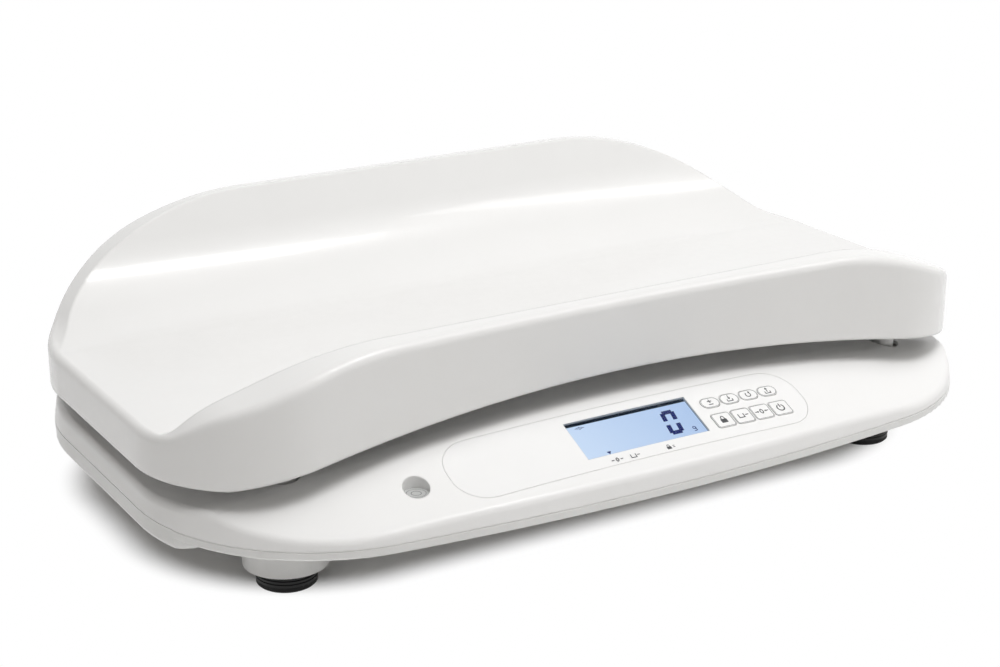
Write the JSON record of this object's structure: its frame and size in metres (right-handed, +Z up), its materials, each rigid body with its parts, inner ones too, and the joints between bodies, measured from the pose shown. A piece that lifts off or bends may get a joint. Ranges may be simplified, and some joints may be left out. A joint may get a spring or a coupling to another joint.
{
  "type": "digital baby weighing scale",
  "caption": "Baby scale: a long open tray with raised front and back walls on a low base with a sloping display console, push keys, a bubble level and screw feet.",
  "frame": {"origin": "on the table under the middle of the base, at the bottom of the feet", "axes": "+X along the tray, to the right of a person who reads the display; -Y towards that person; +Z up"},
  "size_m": [0.56, 0.3619, 0.16],
  "materials": {
    "tray_white": "glossy off-white ABS",
    "base_white": "glossy off-white ABS",
    "housing_white": "satin off-white ABS",
    "holder_plastic": "plain moulded plastic",
    "overlay_film": "printed polyester film",
    "key_film": "white key cap with a thin grey outline",
    "clear_window": "clear polycarbonate",
    "black_plastic": "black moulded plastic",
    "display_glass": "backlit liquid crystal glass",
    "backlight_plastic": "light guide",
    "board_green": "solder-masked glass fibre",
    "component_black": "moulded component bodies",
    "silicone": "silicone sheet",
    "spring_steel": "stainless snap domes",
    "zinc_steel": "zinc-plated fasteners",
    "vial_clear": "clear acrylic",
    "vial_liquid": "pale tinted liquid",
    "cell_alloy": "machined aluminium alloy",
    "plate_steel": "grey painted steel",
    "post_plastic": "glass-filled nylon",
    "cap_rubber": "soft black rubber",
    "foot_rubber": "black rubber",
    "foot_black": "black ribbed plastic",
    "brass": "knurled brass",
    "battery_wrap": "plain wrapped cell",
    "contact_metal": "nickel-plated spring steel",
    "cable_grey": "grey cable jacket"
  },
  "bodies": {
    "base": {"top_cover": "base_white", "bottom_housing": "housing_white", "battery_holder": "holder_plastic", "panel_overlay": "overlay_film", "lcd_lens": "clear_window", "lcd_frame": "black_plastic", "dc_jack": "black_plastic", "buzzer": "black_plastic", "board_header": "black_plastic", "lcd_glass": "display_glass", "lcd_backlight": "backlight_plastic", "main_board": "board_green", "key_board": "board_green", "board_components": "component_black", "switch_sheet": "silicone", "key_domes": "spring_steel", "board_screws": "zinc_steel", "housing_screws": "zinc_steel", "plate_screws": "zinc_steel", "lower_bolts": "zinc_steel", "overload_stops": "zinc_steel", "level_vial": "vial_clear", "level_liquid": "vial_liquid", "load_cell": "cell_alloy", "lower_spacer": "cell_alloy", "base_plate": "plate_steel", "foot_inserts": "brass", "battery_cells": "battery_wrap", "battery_contacts": "contact_metal", "load_cell_cable": "cable_grey", "power_cable": "cable_grey", "battery_cable": "cable_grey"},
    "platform": {"upper_spacer": "cell_alloy", "upper_bolts": "zinc_steel", "platform_spider": "plate_steel", "tray_posts": "post_plastic", "post_screws": "zinc_steel", "post_caps": "cap_rubber"},
    "tray": {"tray": "tray_white"},
    "battery_door": {"battery_door": "housing_white"},
    "key_difference": {"key_difference": "key_film"},
    "key_hold": {"key_hold": "key_film"},
    "key_store": {"key_store": "key_film"},
    "key_tare": {"key_tare": "key_film"},
    "key_mode": {"key_mode": "key_film"},
    "key_zero": {"key_zero": "key_film"},
    "key_recall": {"key_recall": "key_film"},
    "key_power": {"key_power": "key_film"},
    "foot_pad_front_left": {"foot_pad_front_left": "foot_rubber"},
    "foot_knob_front_left": {"foot_knob_front_left": "foot_black", "foot_stud_front_left": "zinc_steel"},
    "foot_pad_front_right": {"foot_pad_front_right": "foot_rubber"},
    "foot_knob_front_right": {"foot_knob_front_right": "foot_black", "foot_stud_front_right": "zinc_steel"},
    "foot_pad_rear_left": {"foot_pad_rear_left": "foot_rubber"},
    "foot_knob_rear_left": {"foot_knob_rear_left": "foot_black", "foot_stud_rear_left": "zinc_steel"},
    "foot_pad_rear_right": {"foot_pad_rear_right": "foot_rubber"},
    "foot_knob_rear_right": {"foot_knob_rear_right": "foot_black", "foot_stud_rear_right": "zinc_steel"}
  },
  "joints": [
    {"name": "platform_flex", "type": "slide", "parent": "base", "child": "platform", "axis": [0, 0, 1], "range_m": [-0.00025, 0], "stiffness_N_per_m": 200000, "springref_m": 0.00014},
    {"name": "tray_lift", "type": "slide", "parent": "platform", "child": "tray", "axis": [0, 0, 1], "range_m": [0, 0.06]},
    {"name": "battery_door_drop", "type": "slide", "parent": "base", "child": "battery_door", "axis": [0, 0, -1], "range_m": [0, 0.02]},
    {"name": "press_difference", "type": "slide", "parent": "base", "child": "key_difference", "axis": [-0.028, 0.4018, -0.9153], "range_m": [0, 0.0004], "stiffness_N_per_m": 100},
    {"name": "press_hold", "type": "slide", "parent": "base", "child": "key_hold", "axis": [-0.028, 0.4018, -0.9153], "range_m": [0, 0.0004], "stiffness_N_per_m": 100},
    {"name": "press_store", "type": "slide", "parent": "base", "child": "key_store", "axis": [-0.028, 0.4018, -0.9153], "range_m": [0, 0.0004], "stiffness_N_per_m": 100},
    {"name": "press_tare", "type": "slide", "parent": "base", "child": "key_tare", "axis": [-0.028, 0.4018, -0.9153], "range_m": [0, 0.0004], "stiffness_N_per_m": 100},
    {"name": "press_mode", "type": "slide", "parent": "base", "child": "key_mode", "axis": [-0.028, 0.4018, -0.9153], "range_m": [0, 0.0004], "stiffness_N_per_m": 100},
    {"name": "press_zero", "type": "slide", "parent": "base", "child": "key_zero", "axis": [-0.028, 0.4018, -0.9153], "range_m": [0, 0.0004], "stiffness_N_per_m": 100},
    {"name": "press_recall", "type": "slide", "parent": "base", "child": "key_recall", "axis": [-0.028, 0.4018, -0.9153], "range_m": [0, 0.0004], "stiffness_N_per_m": 100},
    {"name": "press_power", "type": "slide", "parent": "base", "child": "key_power", "axis": [-0.028, 0.4018, -0.9153], "range_m": [0, 0.0004], "stiffness_N_per_m": 100},
    {"name": "front_left_foot_height", "type": "slide", "parent": "base", "child": "foot_pad_front_left", "axis": [0, 0, -1], "range_m": [0, 0.008]},
    {"name": "front_left_foot_turn", "type": "hinge", "parent": "foot_pad_front_left", "child": "foot_knob_front_left", "pos_m": [-0.208, -0.0964, 0.0075], "axis": [0, 0, -1], "range_deg": [0, 2304]},
    {"name": "front_right_foot_height", "type": "slide", "parent": "base", "child": "foot_pad_front_right", "axis": [0, 0, -1], "range_m": [0, 0.008]},
    {"name": "front_right_foot_turn", "type": "hinge", "parent": "foot_pad_front_right", "child": "foot_knob_front_right", "pos_m": [0.208, -0.0964, 0.0075], "axis": [0, 0, -1], "range_deg": [0, 2304]},
    {"name": "rear_left_foot_height", "type": "slide", "parent": "base", "child": "foot_pad_rear_left", "axis": [0, 0, -1], "range_m": [0, 0.008]},
    {"name": "rear_left_foot_turn", "type": "hinge", "parent": "foot_pad_rear_left", "child": "foot_knob_rear_left", "pos_m": [-0.208, 0.0964, 0.0075], "axis": [0, 0, -1], "range_deg": [0, 2304]},
    {"name": "rear_right_foot_height", "type": "slide", "parent": "base", "child": "foot_pad_rear_right", "axis": [0, 0, -1], "range_m": [0, 0.008]},
    {"name": "rear_right_foot_turn", "type": "hinge", "parent": "foot_pad_rear_right", "child": "foot_knob_rear_right", "pos_m": [0.208, 0.0964, 0.0075], "axis": [0, 0, -1], "range_deg": [0, 2304]}
  ],
  "couplings": [
    {"joint": "front_left_foot_turn", "follows": "front_left_foot_height", "rad_per_m": 5026.5},
    {"joint": "front_right_foot_turn", "follows": "front_right_foot_height", "rad_per_m": 5026.5},
    {"joint": "rear_left_foot_turn", "follows": "rear_left_foot_height", "rad_per_m": 5026.5},
    {"joint": "rear_right_foot_turn", "follows": "rear_right_foot_height", "rad_per_m": 5026.5}
  ]
}
